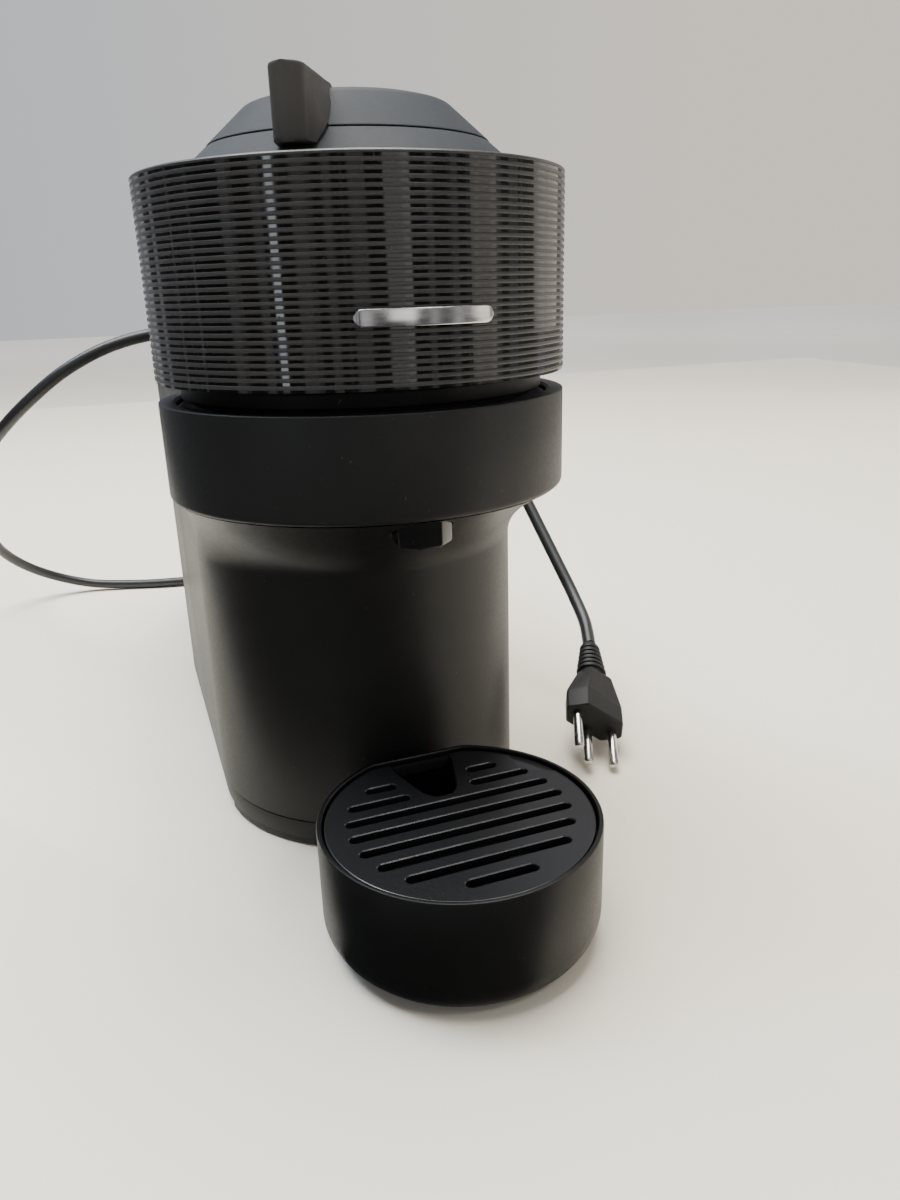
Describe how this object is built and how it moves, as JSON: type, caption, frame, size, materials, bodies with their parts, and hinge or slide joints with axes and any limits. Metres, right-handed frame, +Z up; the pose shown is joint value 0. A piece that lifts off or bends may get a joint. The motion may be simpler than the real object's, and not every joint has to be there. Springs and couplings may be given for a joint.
{
  "type": "pod coffee machine",
  "caption": "Compact pod coffee machine: round ribbed brewing head hinged on a column, turning lever, rear capsule bin and water tank, drip tray, mains lead with plug.",
  "frame": {"origin": "middle of the machine's box, without its mains lead, on the surface it stands on", "axes": "+Z up, -Y towards the user, +X to the user's right when facing the machine"},
  "size_m": [0.287, 0.4724, 0.249],
  "materials": {
    "body": "satin dark grey moulded plastic, fine grain",
    "collar": "satin black moulded plastic",
    "gloss_black": "polished black plastic",
    "head": "semi-gloss charcoal with fine horizontal ribs",
    "dome": "satin mid grey plastic",
    "tray": "satin black plastic",
    "rubber": "matte black rubber",
    "cord": "matte black flexible PVC",
    "tank": "smoked transparent plastic",
    "steel": "nickel-plated",
    "inner": "natural grey moulding",
    "cast": "cast and machined",
    "board": "green laminate",
    "hose": "translucent silicone",
    "light": "frosted white diffuser",
    "badge": "bright plated bar"
  },
  "bodies": {
    "body": {"base_plate": "body", "foot_front_left": "rubber", "foot_front_right": "rubber", "foot_rear_left": "rubber", "foot_rear_right": "rubber", "base_screw_1": "steel", "base_screw_2": "steel", "base_screw_3": "steel", "base_screw_4": "steel", "body_shell": "body", "rear_housing": "body", "collar": "collar", "collar_liner": "gloss_black", "cup_bearing": "steel", "motor_frame": "inner", "motor": "cast", "coffee_collector": "inner", "spout": "gloss_black", "pump": "inner", "flow_meter": "inner", "heater": "cast", "control_board": "board", "inlet_hose": "hose", "feed_hose": "hose", "bin_shelf": "inner", "hinge_bracket": "body", "hinge_pin": "steel", "tank_dock": "body", "tank_socket": "inner", "power_cord": "cord", "cord_gland": "cord", "plug_body": "cord", "plug_strain_relief": "cord", "plug_pin_left": "steel", "plug_pin_earth": "steel", "plug_pin_right": "steel"},
    "cup": {"capsule_cup": "cast", "drive_shaft": "steel"},
    "head": {"head_shell": "head", "head_base": "gloss_black", "head_hinge_arm": "body", "head_gasket": "rubber", "dome_ring": "dome", "centre_column": "inner", "light_ring": "light", "injection_needle": "steel", "badge": "badge", "button_spring": "steel"},
    "injector": {"injector_bell": "cast"},
    "lever": {"lever_cap": "dome", "lever_sleeve": "inner", "lock_ring": "cast"},
    "button": {"brew_button": "dome"},
    "bin": {"capsule_bin": "inner", "bin_cover": "body"},
    "tank": {"water_tank": "tank"},
    "tank_lid": {"tank_lid": "body"},
    "valve": {"tank_valve": "rubber"},
    "tray": {"drip_bowl": "tray"},
    "grid": {"drip_grid": "tray"}
  },
  "joints": [
    {"name": "head_hinge", "type": "hinge", "parent": "body", "child": "head", "pos_m": [0, -0.0135, 0.1635], "axis": [-1, 0, 0], "range_deg": [0, 55]},
    {"name": "lever_turn", "type": "hinge", "parent": "head", "child": "lever", "pos_m": [0, -0.088, 0.2354], "axis": [0, 0, 1], "range_deg": [0, 32]},
    {"name": "button_press", "type": "slide", "parent": "head", "child": "button", "axis": [0, 0, -1], "range_m": [0, 0.0015], "stiffness_N_per_m": 400, "springref_m": -0.003, "deforming": ["button_spring"]},
    {"name": "cup_spin", "type": "hinge", "parent": "body", "child": "cup", "pos_m": [0, -0.088, 0.151], "axis": [0, 0, 1], "continuous": true},
    {"name": "injector_spin", "type": "hinge", "parent": "head", "child": "injector", "pos_m": [0, -0.088, 0.156], "axis": [0, 0, 1], "continuous": true},
    {"name": "bin_lift", "type": "slide", "parent": "body", "child": "bin", "axis": [0, 0, 1], "range_m": [0, 0.125]},
    {"name": "tank_lift", "type": "slide", "parent": "body", "child": "tank", "axis": [0, 0, 1], "range_m": [0, 0.08]},
    {"name": "tank_lid_hinge", "type": "hinge", "parent": "tank", "child": "tank_lid", "pos_m": [0, 0.2116, 0.1606], "axis": [-1, 0, 0], "range_deg": [0, 100]},
    {"name": "valve_lift", "type": "slide", "parent": "tank", "child": "valve", "axis": [0, 0, 1], "range_m": [0, 0.003], "stiffness_N_per_m": 200, "springref_m": -0.002},
    {"name": "tray_slide", "type": "slide", "parent": "body", "child": "tray", "axis": [0, -1, 0], "range_m": [0, 0.12]},
    {"name": "grid_lift", "type": "slide", "parent": "tray", "child": "grid", "axis": [0, 0, 1], "range_m": [0, 0.04]}
  ],
  "couplings": [
    {"joint": "injector_spin", "follows": "cup_spin", "ratio": 1}
  ]
}
